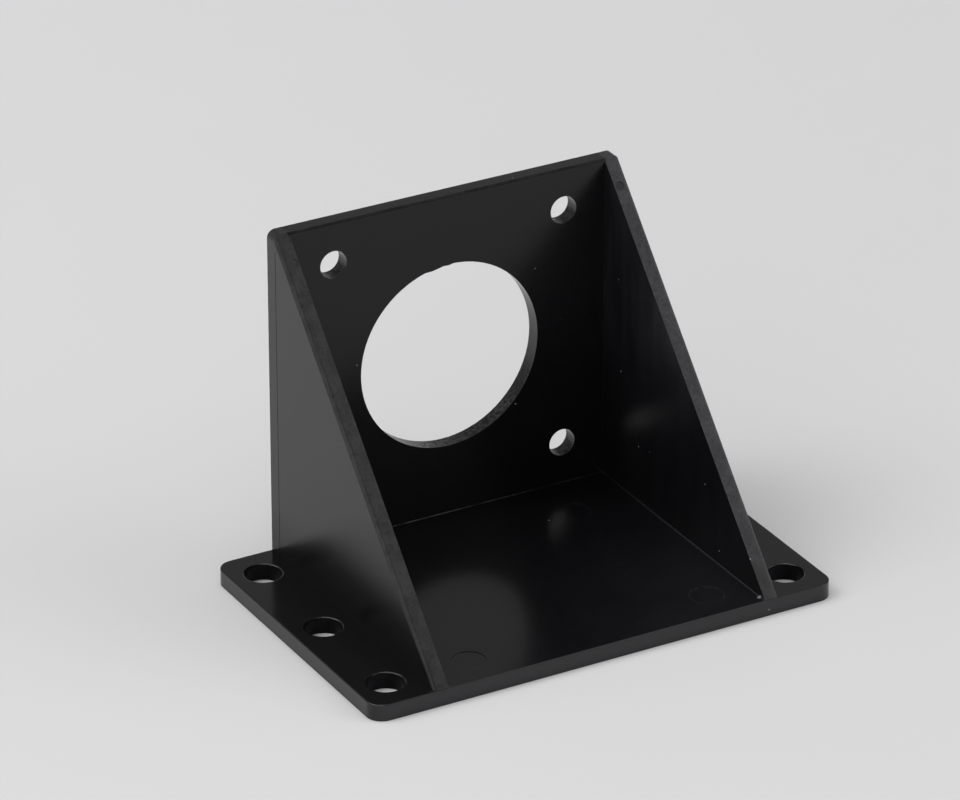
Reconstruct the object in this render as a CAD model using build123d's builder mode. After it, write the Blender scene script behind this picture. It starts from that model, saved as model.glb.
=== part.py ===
from build123d import *
import math
import os

# Motor mounting bracket: one moulded plastic piece.  A base plate carries an upright
# face plate along its rear edge, and two triangular side ribs tie the face plate to the
# base.  Millimetres, +Z up, +X to the right, the open side toward -Y.  The origin is the
# middle of the base underside.

# the motor: its square body stands on the floor, between the ribs
motor_w = 42.0         # body, across and high
motor_gap = 0.2        # air between the body and each rib
bolt_pitch = 31.0      # square pattern of the motor's bolts
bolt_d = 3.5
bore_d = 24.0          # clears the motor's pilot boss

# base plate
base_d = 39.8          # front to rear, Y
base_t = 2.1           # thickness, Z
base_corner_r = 2.0    # plan corner radius
base_edge_r = 0.15     # rounding of the upper rim, front and sides
flange_w = 7.75        # base plate outside each rib, X

# upright face plate, flush with the rear edge of the base
plate_t = 2.0          # thickness, Y
plate_low = 0.1        # its top under the top of the motor
plate_edge_r = 0.3     # upper front edge
crown_left_r = 1.0     # top corners, seen from the front
crown_right_r = 0.7

# side ribs
rib_t = 1.95           # thickness, X
rib_edge_r = 0.5       # outer edge, down the slope
slope_back = 0.3       # the slopes start behind the front of the face plate
seam_r = 0.3           # fillets between the floor and the ribs
face_seam_r = 0.15     # fillet between the floor and the face plate

# fixing holes in the flanges, three a side
fix_d = 4.5
fix_out = 3.7          # centres outside the rib
fix_end = 4.8          # end holes from the front and rear edges
fix_edge_r = 0.2       # rounding of the upper rims

# marks left by the mould
pin_d = 4.1            # ejector pins on the floor
pin_depth = 0.07
pin_front_x = 5.2      # front pair, in from the ribs
pin_front_y = 4.7      # and behind the front edge
pin_rear_x = 8.2       # rear pair, in from the ribs
pin_rear_y = 7.2       # and in front of the face plate
top_pin_d = 1.2        # small pins on the slopes of the ribs
top_pin_run = 3.8      # down the slope from its upper end
gate_w = 3.9           # trimmed gate inside the bore
gate_h = 0.2
gate_t = 1.0           # from the front face, Y
gate_angle = 96.6      # round the bore from +X
split_w = 0.1          # parting line up the sides of the body
split_depth = 0.03

front_y = -base_d / 2
rear_y = base_d / 2
face_y = rear_y - plate_t
rib_in_x = motor_w / 2 + motor_gap
rib_out_x = rib_in_x + rib_t
base_w = 2 * (rib_out_x + flange_w)
motor_z = base_t + motor_w / 2         # axis of the motor
plate_h = base_t + motor_w - plate_low
foot_z = base_t - base_edge_r          # the slopes of the ribs run out on the front rim
fix_x = rib_out_x + fix_out
fix_y = base_d / 2 - fix_end
head_y = face_y + slope_back           # and start here, at the top
slope = math.atan2(plate_h - foot_z, head_y - front_y)

with BuildPart() as bracket:
    # base plate with rounded plan corners; its upper rim is rounded but for the rear edge
    with BuildSketch():
        RectangleRounded(base_w, base_d, base_corner_r)
    extrude(amount=base_t)
    rim = bracket.faces().sort_by(Axis.Z)[-1].edges()
    fillet([e for e in rim if e.center().Y < rear_y - base_corner_r], radius=base_edge_r)

    # face plate and ribs: the outline seen from the side, cut to the outline seen from
    # the front
    with BuildPart(mode=Mode.PRIVATE) as body:
        with BuildSketch(Plane.YZ):
            with BuildLine():
                Polyline((front_y, 0), (rear_y, 0), (rear_y, plate_h), (head_y, plate_h),
                         (front_y, foot_z), close=True)
            make_face()
        extrude(amount=rib_out_x, both=True)
        fillet([e for e in body.edges().filter_by(lambda e: abs(e.center().X) > rib_out_x - 0.01)
                if foot_z / 2 + 0.01 < e.center().Z < plate_h - 0.01
                and e.center().Y < face_y - 0.01], radius=rib_edge_r)
        with BuildSketch(Plane.XZ) as front:
            with Locations((0, plate_h / 2)):
                Rectangle(2 * rib_out_x, plate_h)
            fillet(front.vertices().group_by(Axis.Y)[-1].sort_by(Axis.X)[0],
                   radius=crown_left_r)
            fillet(front.vertices().group_by(Axis.Y)[-1].sort_by(Axis.X)[-1],
                   radius=crown_right_r)
        extrude(amount=base_d, both=True, mode=Mode.INTERSECT)
    add(body.part)
    # between the ribs the face plate keeps its full thickness up to its top
    with Locations((0, rear_y, 0)):
        Box(2 * rib_in_x, plate_t, plate_h, align=(Align.CENTER, Align.MAX, Align.MIN))

    # the pocket between the ribs, open to the front and the top: its rounded lower corners
    # leave the seams filleted
    with BuildPart(mode=Mode.PRIVATE) as pocket:
        with BuildSketch(Plane.YZ) as run:
            with Locations((face_y, base_t)):
                Rectangle(2 * base_d, 2 * plate_h, align=(Align.MAX, Align.MIN))
            fillet(run.vertices().group_by(Axis.Y)[0].sort_by(Axis.X)[-1],
                   radius=face_seam_r)
        extrude(amount=rib_out_x, both=True)
        with BuildSketch(Plane.XZ) as bay:
            with Locations((0, base_t)):
                Rectangle(2 * rib_in_x, 2 * plate_h, align=(Align.CENTER, Align.MIN))
            fillet(bay.vertices().group_by(Axis.Y)[0], radius=seam_r)
        extrude(amount=2 * base_d, both=True, mode=Mode.INTERSECT)
    add(pocket.part, mode=Mode.SUBTRACT)

    # rounded upper front edge of the face plate, between the ribs
    with BuildSketch(Plane.YZ):
        with BuildLine():
            Polyline((face_y, plate_h - plate_edge_r), (face_y, plate_h),
                     (face_y + plate_edge_r, plate_h))
            TangentArc((face_y + plate_edge_r, plate_h), (face_y, plate_h - plate_edge_r),
                       tangent=(-1, 0))
        make_face()
    extrude(amount=rib_in_x, both=True, mode=Mode.SUBTRACT)

    # bore and motor bolt holes
    with BuildSketch(Plane.XZ.offset(-rear_y)):
        with Locations((0, motor_z)):
            Circle(bore_d / 2)
            with GridLocations(bolt_pitch, bolt_pitch, 2, 2):
                Circle(bolt_d / 2)
    extrude(amount=plate_t, mode=Mode.SUBTRACT)

    # fixing holes with rounded upper rims
    with Locations(Plane.XY.offset(base_t)):
        with GridLocations(2 * fix_x, fix_y, 2, 3):
            Hole(fix_d / 2, depth=base_t)
    rims = bracket.edges().filter_by(GeomType.CIRCLE).filter_by(
        lambda e: abs(e.radius - fix_d / 2) < 0.001 and abs(e.center().Z - base_t) < 0.001)
    fillet(rims, radius=fix_edge_r)

    # trimmed gate: a torn ridge standing a little into the bore
    def torn(along, high):
        turn = math.radians(gate_angle) - along * gate_w / bore_d
        reach = bore_d / 2 - high * gate_h
        return (reach * math.cos(turn), motor_z + reach * math.sin(turn))

    with BuildSketch(Plane.XZ.offset(-face_y)):
        with BuildLine():
            Polyline(torn(-1, -1), torn(-1, 0), torn(-0.5, 1), torn(0.3, 0.4),
                     torn(0.65, 0.7), torn(1, 0), torn(1, -1), close=True)
        make_face()
    extrude(amount=-gate_t)

    # ejector pins on the floor and on the slopes
    with BuildSketch(Plane.XY.offset(base_t)):
        for side in (-1, 1):
            with Locations((side * (rib_in_x - pin_front_x), front_y + pin_front_y),
                           (side * (rib_in_x - pin_rear_x), face_y - pin_rear_y)):
                Circle(pin_d / 2)
    extrude(amount=-pin_depth, mode=Mode.SUBTRACT)
    down = Vector(0, -math.cos(slope), -math.sin(slope))
    flat_x = rib_in_x + (rib_t - rib_edge_r) / 2
    on_slope = Plane(origin=Vector(0, head_y, plate_h) + down * top_pin_run, x_dir=(1, 0, 0),
                     z_dir=(0, -math.sin(slope), math.cos(slope)))
    with BuildSketch(on_slope):
        with Locations((-flat_x, 0), (flat_x, 0)):
            Circle(top_pin_d / 2)
    extrude(amount=-pin_depth, mode=Mode.SUBTRACT)

    # parting line where the face plate ends on the sides of the body, up to the rounding
    split_h = plate_h - base_t - 2 * max(crown_left_r, crown_right_r, rib_edge_r)
    for side in (-1, 1):
        with Locations((side * rib_out_x, face_y, base_t)):
            Box(2 * split_depth, split_w, split_h,
                align=(Align.CENTER, Align.CENTER, Align.MIN), mode=Mode.SUBTRACT)

bracket.part.label = "motor_bracket"
os.makedirs("parts", exist_ok=True)
export_step(bracket.part, "parts/motor_bracket.step")
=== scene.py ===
"""Motor mounting bracket: finish of the moulded plastic, and the studio it stands in."""

import math

import bpy
from bpy.props import FloatProperty, FloatVectorProperty, PointerProperty
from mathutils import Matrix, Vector


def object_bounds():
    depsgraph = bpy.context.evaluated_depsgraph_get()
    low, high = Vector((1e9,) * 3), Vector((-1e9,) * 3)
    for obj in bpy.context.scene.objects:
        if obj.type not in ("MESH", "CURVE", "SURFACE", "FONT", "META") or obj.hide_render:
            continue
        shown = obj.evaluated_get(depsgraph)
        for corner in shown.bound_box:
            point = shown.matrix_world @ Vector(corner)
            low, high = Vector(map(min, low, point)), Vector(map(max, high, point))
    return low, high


bl_info = {
    "name": "Motor Bracket",
    "version": (1, 0, 0),
    "blender": (4, 5, 0),
    "location": "3D View > Sidebar > Bracket",
    "description": "Finishes a moulded motor bracket and sets up its studio",
    "category": "Object",
}

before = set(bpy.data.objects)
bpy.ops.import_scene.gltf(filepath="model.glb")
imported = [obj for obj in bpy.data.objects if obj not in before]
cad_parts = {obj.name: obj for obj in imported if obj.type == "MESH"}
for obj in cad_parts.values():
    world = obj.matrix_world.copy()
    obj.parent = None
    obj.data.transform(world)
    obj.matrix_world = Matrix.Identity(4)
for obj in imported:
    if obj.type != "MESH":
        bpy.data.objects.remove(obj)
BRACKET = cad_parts["motor_bracket"]
CAD_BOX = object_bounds()


# ---------------------------------------------------------------- node helpers
class Nodes:
    """Short words for building one node tree."""

    def __init__(self, tree):
        self.tree = tree
        tree.nodes.clear()

    def add(self, kind, **inputs):
        """A node, with values or links given by input name (spaces as underscores)."""
        node = self.tree.nodes.new(kind)
        for name, value in inputs.items():
            self.put(node, name.replace("_", " "), value)
        return node

    def put(self, node, name, value):
        """Set an input of a node by name or index, from a value or from a socket."""
        socket = node.inputs[name]
        if isinstance(value, bpy.types.NodeSocket):
            self.tree.links.new(value, socket)
        else:
            socket.default_value = value

    def math(self, operation, *values):
        """A Math node's result."""
        node = self.tree.nodes.new("ShaderNodeMath")
        node.operation = operation
        for i, value in enumerate(values):
            self.put(node, i, value)
        return node.outputs[0]

    def vector(self, operation, *values):
        """A Vector Math node, so that the caller picks its Vector or Value."""
        node = self.tree.nodes.new("ShaderNodeVectorMath")
        node.operation = operation
        for i, value in enumerate(values):
            self.put(node, i, value)
        return node

    def dot(self, vector, way):
        """How far a vector reaches along another one."""
        return self.vector("DOT_PRODUCT", vector, way).outputs["Value"]

    def distance(self, place, point):
        """How far a place is from a point."""
        return self.vector("DISTANCE", place, point).outputs["Value"]

    def noise(self, where, scale, detail, roughness):
        """Noise from 0 to 1 over a place in metres."""
        node = self.add("ShaderNodeTexNoise", Vector=where, Scale=scale,
                        Detail=detail, Roughness=roughness)
        return node.outputs["Fac"]

    def remap(self, value, low, high, to_low=0.0, to_high=1.0):
        """A value moved smoothly from one range to another, and held at its ends."""
        node = self.tree.nodes.new("ShaderNodeMapRange")
        node.interpolation_type = "SMOOTHSTEP"
        for name, number in (("Value", value), ("From Min", low), ("From Max", high),
                             ("To Min", to_low), ("To Max", to_high)):
            self.put(node, name, number)
        return node.outputs["Result"]

    def grey(self, value):
        """A grey colour of this value."""
        return self.add("ShaderNodeCombineColor", Red=value, Green=value,
                        Blue=value).outputs["Color"]

    def blend(self, factor, a, b):
        """Mix of two colours."""
        node = self.tree.nodes.new("ShaderNodeMix")
        node.data_type = "RGBA"
        for i, value in ((0, factor), (6, a), (7, b)):
            self.put(node, i, value)
        return node.outputs[2]

    def split(self, vector):
        """The three numbers of a vector."""
        node = self.add("ShaderNodeSeparateXYZ", Vector=vector)
        return node.outputs["X"], node.outputs["Y"], node.outputs["Z"]

    def both(self, *masks):
        """1 only where every mask is 1."""
        result = masks[0]
        for mask in masks[1:]:
            result = self.math("MULTIPLY", result, mask)
        return result

    def either(self, *masks):
        """1 where any mask is 1."""
        result = masks[0]
        for mask in masks[1:]:
            result = self.math("MAXIMUM", result, mask)
        return result

    def above(self, value, limit, soft):
        """1 where a value is above a limit."""
        return self.remap(value, limit - soft, limit + soft)

    def below(self, value, limit, soft):
        """1 where a value is below a limit."""
        return self.remap(value, limit - soft, limit + soft, 1.0, 0.0)

    def toward(self, value, mask, target):
        """A value moved to a target where the mask is 1."""
        change = self.math("SUBTRACT", target, value)
        return self.math("MULTIPLY_ADD", change, mask, value)

    def less(self, value, mask, share):
        """A value that loses a share of itself where the mask is 1."""
        keep = self.math("MULTIPLY_ADD", mask, -share, 1.0)
        return self.math("MULTIPLY", value, keep)

    def output(self, kind, shader):
        """The output node that ends the tree."""
        self.add(kind, Surface=shader.outputs[0])


def opaque(colour):
    """A colour with full alpha, as node sockets want it."""
    return (*colour, 1.0)


def spread(colour, share):
    """A darker and a lighter shade of a colour."""
    return (opaque([c * (1.0 - share) for c in colour]),
            opaque([c * (1.0 + share) for c in colour]))


def direction(around, above):
    """Unit vector at an angle round the bracket, 0 in front, and above the horizon."""
    return Vector((math.sin(around) * math.cos(above), -math.cos(around) * math.cos(above),
                   math.sin(above)))


# ------------------------------------------------------------------ properties
class BracketFinish(bpy.types.PropertyGroup):
    """The moulded plastic."""

    colour: FloatVectorProperty(
        name="Colour", description="Colour of the plastic", subtype="COLOR",
        size=3, min=0.0, max=1.0, default=(0.0038, 0.0038, 0.0045))
    roughness: FloatProperty(
        name="Roughness", description="Roughness of the smooth moulded faces",
        subtype="FACTOR", min=0.0, max=1.0, default=0.16)
    wall_roughness: FloatProperty(
        name="Wall roughness", description="Roughness of the sides of the ribs",
        subtype="FACTOR", min=0.0, max=1.0, default=0.28)
    plate_roughness: FloatProperty(
        name="Plate roughness", description="Roughness of the face plate",
        subtype="FACTOR", min=0.0, max=1.0, default=0.22)
    plate_gloss: FloatProperty(
        name="Plate gloss", description="Share of the full gloss on the face plate",
        subtype="FACTOR", min=0.0, max=1.0, default=0.6)
    # on the inner rib walls this colour also paints light, stronger higher up
    haze: FloatVectorProperty(
        name="Haze", description="Colour of the dull haze on the ribs and the floor",
        subtype="COLOR", size=3, min=0.0, max=1.0, default=(0.013, 0.013, 0.016))
    # this colour also paints a sheen that makes the right slope brighter than the left
    scuff_and_sheen: FloatVectorProperty(
        name="Scuff", description="Colour of the scuffed grain on the slopes",
        subtype="COLOR", size=3, min=0.0, max=1.0, default=(0.026, 0.025, 0.029))
    # this colour also paints the glint at the front end of the right seam
    dust_and_glint: FloatVectorProperty(
        name="Dust", description="Colour of the specks of dust and the pits in the bore",
        subtype="COLOR", size=3, min=0.0, max=1.0, default=(0.16, 0.16, 0.17))
    edge_roughness: FloatProperty(
        name="Edge roughness", description="Roughness of the slopes of the ribs",
        subtype="FACTOR", min=0.0, max=1.0, default=0.42)


class StudioSettings(bpy.types.PropertyGroup):
    """Floor, light and camera."""

    floor_colour: FloatVectorProperty(
        name="Floor colour", description="Colour of the floor", subtype="COLOR",
        size=3, min=0.0, max=1.0, default=(0.684, 0.682, 0.691))
    floor_width: FloatProperty(
        name="Floor width", description="Width of the floor", unit="LENGTH", default=9.0)
    room_light: FloatProperty(
        name="Room light", description="Even light from the whole room",
        min=0.0, default=0.14)
    horizon_light: FloatProperty(
        name="Horizon light", description="Even light low round the room",
        min=0.0, default=0.6)
    left_light: FloatProperty(
        name="Left light", description="Strength of the main soft light, high on the left",
        min=0.0, default=3.5)
    right_light: FloatProperty(
        name="Right light", description="Strength of the soft light low on the right",
        min=0.0, default=2.1)
    top_light: FloatProperty(
        name="Top light", description="Strength of the soft light overhead",
        min=0.0, default=5.5)
    front_light: FloatProperty(
        name="Front light", description="Strength of the faint light low in front",
        min=0.0, default=1.7)
    back_light: FloatProperty(
        name="Back light", description="Strength of the faint light low behind",
        min=0.0, default=0.1)
    camera_azimuth: FloatProperty(
        name="Camera azimuth", description="Camera's place round the bracket, 0 in front",
        unit="ROTATION", default=math.radians(-29.4))
    camera_elevation: FloatProperty(
        name="Camera elevation", description="Camera's height above the horizon",
        unit="ROTATION", default=math.radians(26.65))
    camera_distance: FloatProperty(
        name="Camera distance", description="From the camera to the point it looks at",
        unit="LENGTH", default=0.7178)
    camera_aim: FloatVectorProperty(
        name="Camera aim", description="The point that the camera looks at",
        subtype="TRANSLATION", unit="LENGTH", size=3,
        default=(-0.005975, 0.000006, 0.026434))
    camera_lens: FloatProperty(
        name="Camera lens", description="Focal length in millimetres on a 36 mm sensor",
        unit="CAMERA", min=10.0, default=232.13)


# ------------------------------------------------------- places on the bracket
# metres outward from the middle, behind it, and above the underside
BASE_SIDE, BASE_REAR, PLATE_TOP = CAD_BOX[1]
RIB_INSIDE = 0.0212
RIB_MIDDLE = 0.0222
RIB_OUTSIDE = 0.02315
PLATE_FACE = BASE_REAR - 0.0020
BASE_TOP = 0.0021

# angle of the slopes of the ribs, from their rise and their run
SLOPE = math.atan2(0.04205, 0.0381)

# ejector marks: a front and a rear pair on the floor, as metres outward from and behind
# the middle, and one high on the right slope
FLOOR_PINS = ((0.0160, -0.0152), (0.0130, 0.0107))
FLOOR_PIN_RADIUS = 0.00205
SLOPE_PIN = (0.02193, 0.01565, 0.04116)
SLOPE_PIN_RADIUS = 0.00055

# front end of the right seam, where a glint is painted as a bright spot
SEAM_END = (0.0210, -0.0188, 0.00215)

# softness of a limit that follows an edge
HAIR = 0.00005


# ------------------------------------------------------------------- materials
class Faces:
    """Masks of the bracket's faces, told apart by where they are and how they face.

    The limits stand a little off the edges that they follow, so that each rounding goes
    with one face. Both sides of the bracket are alike.
    """

    def __init__(self, n, place, facing):
        x, y, z = n.split(place)
        out = n.math("ABSOLUTE", x)
        facing_x, facing_y, facing_z = n.split(facing)
        sideways = n.above(n.math("ABSOLUTE", facing_x), 0.85, 0.1)
        forward = n.below(facing_y, -0.85, 0.1)
        between = n.below(out, RIB_INSIDE + 0.0002, HAIR)
        risen = n.above(z, BASE_TOP + 0.0001, HAIR)

        # ribs and face plate
        side = n.both(sideways, n.above(out, RIB_INSIDE - 0.0005, HAIR),
                      n.above(z, BASE_TOP - 0.00001, 0.00001))
        along_slope = n.dot(facing, (0.0, -math.sin(SLOPE), math.cos(SLOPE)))
        self.side = side
        self.rib = n.both(side, n.below(out, RIB_INSIDE + 0.0005, HAIR))
        # painted shade: the low part of the rib sides by the flange, where the gloss is cut
        # to darken the reflection
        self.painted_shade_by_flange = n.both(side, n.above(out, RIB_MIDDLE, HAIR),
                                n.below(z, 0.0065, 0.0035))
        self.slope = n.both(n.remap(along_slope, 0.1, 0.4),
                            n.above(z, BASE_TOP + 0.00003, 0.00002),
                            n.above(out, RIB_INSIDE - 0.00001, 0.00001),
                            n.below(out, RIB_OUTSIDE + 0.00015, HAIR))
        self.plate = n.both(forward, between, risen)
        self.top = n.both(n.above(z, PLATE_TOP - 0.0004, HAIR), between,
                          n.above(facing_z, 0.25, 0.1))
        self.lip = n.both(self.top, n.below(y, PLATE_FACE + 0.0004, 0.0002))

        # walls of the bore and of the bolt holes
        self.through = n.both(n.below(n.math("ABSOLUTE", facing_y), 0.3, 0.1), between,
                              n.above(y, PLATE_FACE + 0.0001, HAIR), risen,
                              n.below(z, PLATE_TOP - 0.0010, HAIR))
        self.low_wall = n.both(self.through, n.above(facing_z, 0.3, 0.15))
        self.lowest_wall = n.both(self.through, n.above(facing_z, 0.64, 0.1))

        # base plate
        self.floor = n.both(n.above(facing_z, 0.9, 0.05),
                            n.below(z, BASE_TOP + 0.0001, HAIR), between)
        self.rear = n.both(self.floor, n.above(y, 0.007, 0.004))
        self.seam = n.both(n.below(z, BASE_TOP + 0.0005, HAIR),
                           n.below(out, RIB_INSIDE + 0.0001, HAIR),
                           n.above(facing_z, 0.15, 0.05), n.below(facing_z, 0.95, 0.03))
        self.rear_seam = n.both(self.seam, n.above(y, 0.008, 0.008))
        self.front = n.both(forward, n.below(z, BASE_TOP - 0.0002, HAIR))
        self.rim = n.both(sideways, n.above(out, BASE_SIDE - 0.0009, HAIR))
        self.fixing = n.both(n.below(n.math("ABSOLUTE", facing_z), 0.5, 0.1),
                             n.above(out, RIB_OUTSIDE + 0.00045, HAIR),
                             n.below(out, BASE_SIDE - 0.0013, HAIR),
                             n.below(n.math("ABSOLUTE", y), BASE_REAR - 0.0021, HAIR))


def moulded_plastic(finish):
    """Semi-gloss black plastic: smooth moulded faces, scuffed grain on the slopes, and
    painted light: a sheen on the right slope, light high on the rib walls, shade low by the
    flange and a glint at the seam end.
    """
    material = bpy.data.materials.new("moulded_black_plastic")
    material.use_nodes = True
    n = Nodes(material.node_tree)
    coords = n.add("ShaderNodeTexCoord")
    place = coords.outputs["Object"]
    x, y, z = n.split(place)
    on = Faces(n, place, coords.outputs["Normal"])

    # texture of the moulding
    smudge = n.noise(place, scale=140.0, detail=4.0, roughness=0.6)
    peel = n.noise(place, scale=900.0, detail=2.0, roughness=0.5)
    grain = n.noise(place, scale=5200.0, detail=3.0, roughness=0.65)
    patch = n.remap(n.noise(place, scale=420.0, detail=4.0, roughness=0.65), 0.38, 0.62)
    pits = n.noise(place, scale=2600.0, detail=3.0, roughness=0.7)
    speck = n.remap(pits, 0.52, 0.64)
    drawn = n.vector("MULTIPLY", place, (1.0, 1.0, 0.2)).outputs["Vector"]
    streak = n.remap(n.noise(drawn, scale=380.0, detail=3.0, roughness=0.6),
                     0.3, 0.7, 0.25, 1.0)

    # small marks: the scratches, like the haze, gather at the front right of the floor
    fore = n.remap(n.dot(place, (0.7, -0.7, 0.0)), -0.004, 0.022, 0.0, 0.42)
    scratch = n.both(on.floor, scratches(n, place), fore)
    ring = n.both(on.floor, pin_rings(n, x, y), n.remap(patch, 0.0, 1.0, 0.3, 1.0))
    ring = n.less(ring, on.rear, 0.5)
    pin_mark = n.both(on.slope,
                      n.below(n.distance(place, SLOPE_PIN), SLOPE_PIN_RADIUS, 0.00012))
    dust_and_glint = dust_specks_and_glint(n, place)

    # roughness: where masks overlap, the later line counts
    rough = n.math("MULTIPLY_ADD", smudge, 0.05, finish.roughness - 0.025)
    for mask, target in (
            (on.side, finish.wall_roughness),
            (on.plate, finish.plate_roughness),
            (on.rib, finish.wall_roughness + 0.04),
            (on.top, finish.plate_roughness),
            (on.through, 0.14),
            (on.slope, finish.edge_roughness),
            (n.both(on.low_wall, speck), 0.55),
            (on.seam, 0.34),
            (n.either(on.lip, dust_and_glint), 0.5),
            (n.either(ring, scratch), 0.4),
            (on.rear, 0.20),
            (on.fixing, 0.5)):
        rough = n.toward(rough, mask, target)

    # gloss: the share that each mask takes off
    gloss = 1.0
    for mask, share in (
            (on.plate, 1.0 - finish.plate_gloss),
            (on.rib, 0.9),
            # painted shade: reflections dimmed low on the rib sides by the flange
            (on.painted_shade_by_flange, 0.75),
            (on.rim, 0.12),
            (on.floor, 0.2),
            (on.rear, 0.9),
            (pin_mark, 0.4),
            (n.both(on.slope, patch), 0.28),
            (n.both(on.slope, speck), 0.22),
            (on.low_wall, 0.8),
            (n.both(on.low_wall, speck), 0.8),
            (n.both(on.rear_seam, patch), 0.8),
            (on.top, 0.4),
            (n.both(on.lip, n.remap(patch, 0.0, 1.0, 0.4, 1.0)), 0.6),
            (on.fixing, 0.9)):
        gloss = n.less(gloss, mask, share)

    # colour: the plastic, dull haze with painted light high on the rib walls, whitish scuffs
    # with a painted sheen on the right slope, then dust, a painted glint and chalky pits
    colour = n.blend(smudge, *spread(finish.colour, 0.15))
    # partly painted light: streaky haze on the inner rib walls that grows with height,
    # standing in for the light that comes over the plate
    rib_haze_and_painted_light = n.both(on.rib, n.remap(z, 0.010, 0.034, 0.2, 1.0), streak)
    floor_haze = n.both(on.floor, fore, n.remap(smudge, 0.3, 0.7, 0.6, 1.2))
    front_haze = n.math("MULTIPLY", on.front, 0.45)
    haze_and_painted_light = n.either(rib_haze_and_painted_light, floor_haze, front_haze)
    colour = n.blend(haze_and_painted_light, colour, opaque(finish.haze))
    # painted sheen: the scuff colour is laid on more strongly on the right slope, standing in
    # for its brighter reflection
    painted_sheen_on_right = n.remap(x, -0.001, 0.001, 0.3, 1.1)
    less_at_foot = n.remap(z, 0.003, 0.010, 0.4, 1.0)
    slope_scuff_and_sheen = n.both(on.slope, painted_sheen_on_right, n.remap(pits, 0.4, 0.6, 0.85, 0.5), less_at_foot)
    marks = n.either(n.math("MULTIPLY", ring, 0.4), n.math("MULTIPLY", scratch, 0.5))
    scuffed_and_sheen = n.either(n.less(slope_scuff_and_sheen, pin_mark, 0.5), marks)
    colour = n.blend(scuffed_and_sheen, colour, opaque(finish.scuff_and_sheen))
    chalky = n.both(on.lowest_wall, n.remap(pits, 0.45, 0.56, 0.16, 0.0))
    colour = n.blend(n.either(chalky, dust_and_glint), colour, opaque(finish.dust_and_glint))

    # fine relief: the skin everywhere, grain on the slopes, dents low in the bore
    skin = n.add("ShaderNodeBump", Strength=0.03, Distance=0.0002, Height=peel)
    grained = n.math("MULTIPLY", n.either(on.slope, on.lip), 0.9)
    spark = n.add("ShaderNodeBump", Strength=grained, Distance=0.00004, Height=grain,
                  Normal=skin.outputs["Normal"])
    dents = n.add("ShaderNodeBump", Strength=on.low_wall, Distance=0.00008, Height=pits,
                  Normal=spark.outputs["Normal"])

    surface = n.add("ShaderNodeBsdfPrincipled", Base_Color=colour, Roughness=rough,
                    IOR=1.5, Specular_Tint=n.grey(gloss), Normal=dents.outputs["Normal"])
    n.output("ShaderNodeOutputMaterial", surface)
    return material


def pin_rings(n, x, y):
    """Thin rings round the ejector marks on the floor."""
    flat = n.add("ShaderNodeCombineXYZ", X=n.math("ABSOLUTE", x), Y=y).outputs[0]
    rings = []
    for pin_out, pin_y in FLOOR_PINS:
        reach = n.distance(flat, (pin_out, pin_y, 0.0))
        gap = n.math("ABSOLUTE", n.math("SUBTRACT", reach, FLOOR_PIN_RADIUS))
        rings.append(n.remap(gap, 0.00004, 0.00016, 1.0, 0.0))
    return n.either(*rings)


def scratches(n, place):
    """A few long fine scratches, in two directions."""
    found = []
    for turn, shift in ((0.5, 0.0), (-0.35, 0.3)):
        run = n.dot(place, (math.cos(turn), math.sin(turn), 0.0))
        side = n.dot(place, (-math.sin(turn), math.cos(turn), 0.0))
        stretched = n.add("ShaderNodeCombineXYZ", X=n.math("MULTIPLY_ADD", run, 0.03, shift),
                          Y=side)
        line = n.noise(stretched.outputs[0], scale=1300.0, detail=1.0, roughness=0.5)
        found.append(n.remap(line, 0.68, 0.82))
    return n.either(*found)


def dust_specks_and_glint(n, place):
    """A few specks of dust, and a painted glint: a bright spot at the front end of the right
    seam.
    """
    cells = n.add("ShaderNodeTexVoronoi", Vector=place, Scale=320.0)
    picked = n.above(n.split(cells.outputs["Color"])[0], 0.62, 0.01)
    specks = n.both(picked, n.below(cells.outputs["Distance"], 0.035, 0.008))
    # the second mask is a painted highlight where the seam's rounded end catches the light
    return n.either(specks, n.below(n.distance(place, SEAM_END), 0.00025, 0.00008))


def floor_paper(studio):
    """Pale matt paper with a faint mottle, made a little lighter toward the left by painted
    light.
    """
    material = bpy.data.materials.new("floor_paper")
    material.use_nodes = True
    n = Nodes(material.node_tree)
    place = n.add("ShaderNodeTexCoord").outputs["Object"]
    mottle = n.noise(place, scale=60.0, detail=3.0, roughness=0.6)
    # painted light: the floor colour is lighter toward the left, where more light falls
    painted_light_fade = n.remap(n.dot(place, (-0.40, -0.07, 0.0)), -0.12, 0.12, 0.0, 0.94)
    tone = n.math("MULTIPLY_ADD", mottle, 0.06, painted_light_fade)
    colour = n.blend(tone, *spread(studio.floor_colour, 0.09))
    surface = n.add("ShaderNodeBsdfPrincipled", Base_Color=colour, Roughness=0.9, IOR=1.3)
    n.output("ShaderNodeOutputMaterial", surface)
    return material


# ------------------------------------------------------------------- operators
class BRACKET_OT_body(bpy.types.Operator):
    """Gives the moulded bracket its black plastic"""

    bl_idname = "bracket.body"
    bl_label = "Bracket body"

    def execute(self, context):
        plastic = moulded_plastic(context.scene.bracket_finish)
        BRACKET.data.materials.clear()
        BRACKET.data.materials.append(plastic)
        return {"FINISHED"}


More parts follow.
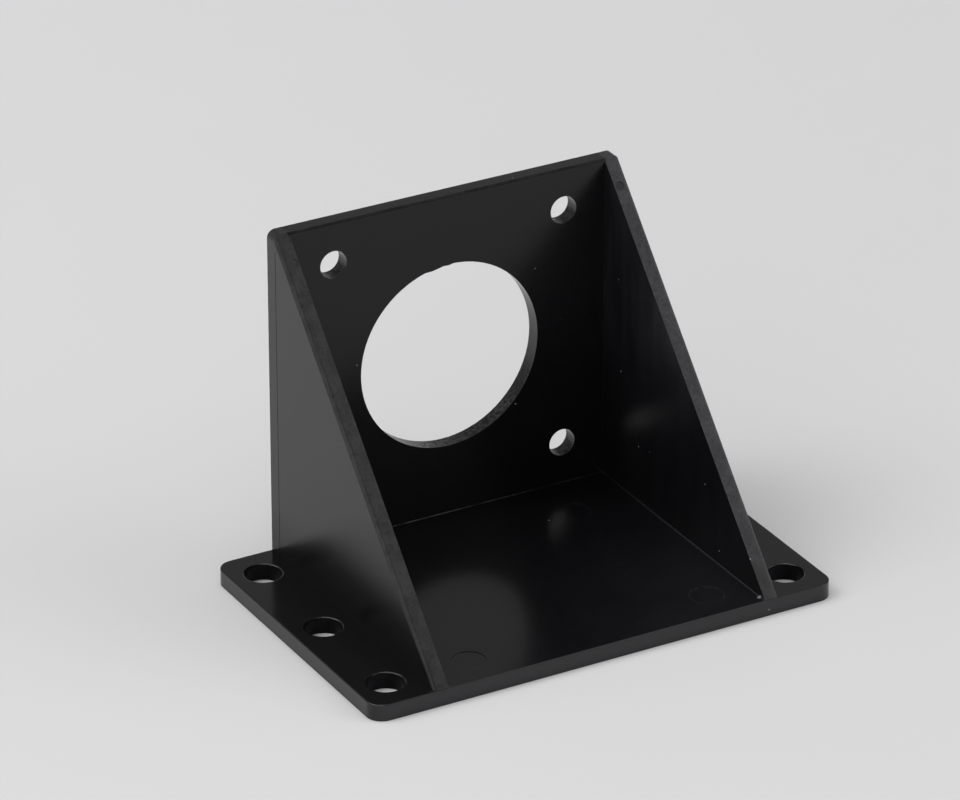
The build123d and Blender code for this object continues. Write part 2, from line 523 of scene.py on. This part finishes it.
class BRACKET_OT_stage(bpy.types.Operator):
    """Adds the floor, the light and the camera"""

    bl_idname = "bracket.stage"
    bl_label = "Studio"

    def execute(self, context):
        studio = context.scene.bracket_studio
        self.floor(context, studio)
        self.room(context, studio)
        self.camera(context, studio)
        context.scene.view_settings.view_transform = "Standard"
        return {"FINISHED"}

    def floor(self, context, studio):
        """A wide flat sheet under the bracket."""
        half = studio.floor_width / 2
        mesh = bpy.data.meshes.new("floor")
        corners = [(-half, -half, 0), (half, -half, 0), (half, half, 0), (-half, half, 0)]
        mesh.from_pydata(corners, [], [(0, 1, 2, 3)])
        sheet = bpy.data.objects.new("floor", mesh)
        context.scene.collection.objects.link(sheet)
        mesh.materials.append(floor_paper(studio))

    def room(self, context, studio):
        """An even room with five soft round lights in it."""
        world = bpy.data.worlds.new("room")
        context.scene.world = world
        world.use_nodes = True
        n = Nodes(world.node_tree)
        aim = n.add("ShaderNodeTexCoord").outputs["Generated"]
        strength = n.remap(n.split(aim)[2], 0.0, 0.5, studio.horizon_light,
                           studio.room_light)
        # degrees round the bracket and above the horizon, how tight, and how strong
        for around, above, sharpness, power in (
                (248, 49, 15, studio.left_light),
                (58, 28, 13, studio.right_light),
                (154, 83, 40, studio.top_light),
                (313, 0, 5, studio.front_light),
                (150, 22, 6, studio.back_light)):
            centre = direction(math.radians(around), math.radians(above))
            near = n.dot(aim, centre)
            fall = n.math("EXPONENT", n.math("MULTIPLY_ADD", near, sharpness, -sharpness))
            strength = n.math("MULTIPLY_ADD", fall, power, strength)
        back = n.add("ShaderNodeBackground", Color=opaque((1.0, 1.0, 1.0)), Strength=strength)
        n.output("ShaderNodeOutputWorld", back)

    def camera(self, context, studio):
        """The camera, set round the point that it looks at."""
        data = bpy.data.cameras.new("camera")
        data.sensor_width = 36.0
        data.lens = studio.camera_lens
        camera = bpy.data.objects.new("camera", data)
        context.scene.collection.objects.link(camera)
        back = direction(studio.camera_azimuth, studio.camera_elevation)
        camera.location = Vector(studio.camera_aim) + back * studio.camera_distance
        camera.rotation_euler = back.to_track_quat("Z", "Y").to_euler()
        data.clip_start, data.clip_end = 0.05, 20.0
        context.scene.camera = camera


class BRACKET_PT_panel(bpy.types.Panel):
    """Lists the pieces of the bracket and its studio"""

    bl_idname = "BRACKET_PT_panel"
    bl_label = "Motor Bracket"
    bl_space_type = "VIEW_3D"
    bl_region_type = "UI"
    bl_category = "Bracket"

    def draw(self, context):
        layout = self.layout
        for group, operator in ((context.scene.bracket_finish, BRACKET_OT_body),
                                (context.scene.bracket_studio, BRACKET_OT_stage)):
            box = layout.box()
            for name in group.__annotations__:
                box.prop(group, name)
            box.operator(operator.bl_idname)


CLASSES = (BracketFinish, StudioSettings, BRACKET_OT_body, BRACKET_OT_stage, BRACKET_PT_panel)


def register():
    for cls in CLASSES:
        bpy.utils.register_class(cls)
    bpy.types.Scene.bracket_finish = PointerProperty(type=BracketFinish)
    bpy.types.Scene.bracket_studio = PointerProperty(type=StudioSettings)


def unregister():
    del bpy.types.Scene.bracket_studio
    del bpy.types.Scene.bracket_finish
    for cls in reversed(CLASSES):
        bpy.utils.unregister_class(cls)


def main():
    register()
    bpy.ops.bracket.body()
    bpy.ops.bracket.stage()


if __name__ == "__main__":
    main()
